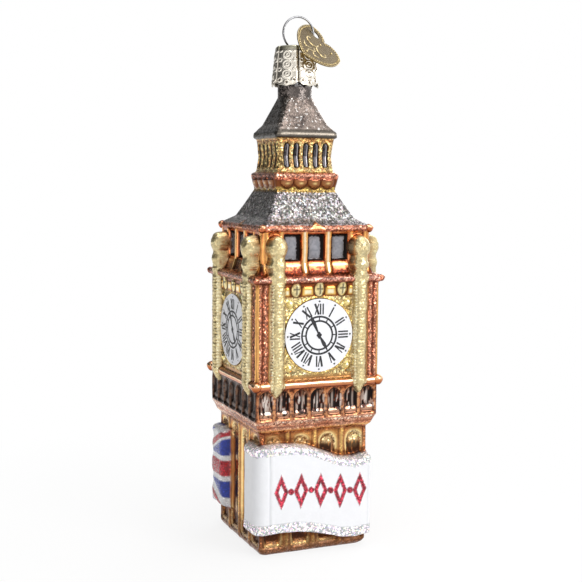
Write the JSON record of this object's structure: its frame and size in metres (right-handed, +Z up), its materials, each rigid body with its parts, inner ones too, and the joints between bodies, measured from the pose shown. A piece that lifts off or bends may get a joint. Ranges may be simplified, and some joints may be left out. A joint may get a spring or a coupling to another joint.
{
  "type": "hanging glass clock tower ornament",
  "caption": "Hollow square glass clock tower with moulded relief and printed dials, a crimped cap on its neck, a wire hanging loop and a swinging heart tag.",
  "frame": {"origin": "middle of the footprint, on the surface the foot stands on", "axes": "+Z up along the tower, -Y is the front with the name banner, -X is the side the banner and the flag wrap onto"},
  "size_m": [0.0366, 0.0366, 0.1306],
  "materials": {
    "lacquered_glass": "silvered inside, lacquered and glittered outside",
    "dial_print": "white with black print",
    "cap_metal": "embossed champagne silver",
    "wire_steel": "bright spring wire",
    "tag_brass": "antique, stamped"
  },
  "bodies": {
    "glass": {"glass_body": "lacquered_glass", "dial_front": "dial_print", "dial_right": "dial_print", "dial_back": "dial_print", "dial_left": "dial_print"},
    "cap": {"cap": "cap_metal"},
    "hanger": {"hanger_wire": "wire_steel"},
    "tag": {"heart_tag": "tag_brass"}
  },
  "joints": [
    {"name": "cap_lift", "type": "slide", "parent": "glass", "child": "cap", "axis": [0, 0, 1], "range_m": [0, 0.022]},
    {"name": "hanger_pull", "type": "slide", "parent": "cap", "child": "hanger", "axis": [0, 0, 1], "range_m": [0, 0.0025]},
    {"name": "tag_swing", "type": "hinge", "parent": "hanger", "child": "tag", "pos_m": [0.0048, 0, 0.12628], "axis": [0, 0, 1], "range_deg": [0, 90]}
  ]
}
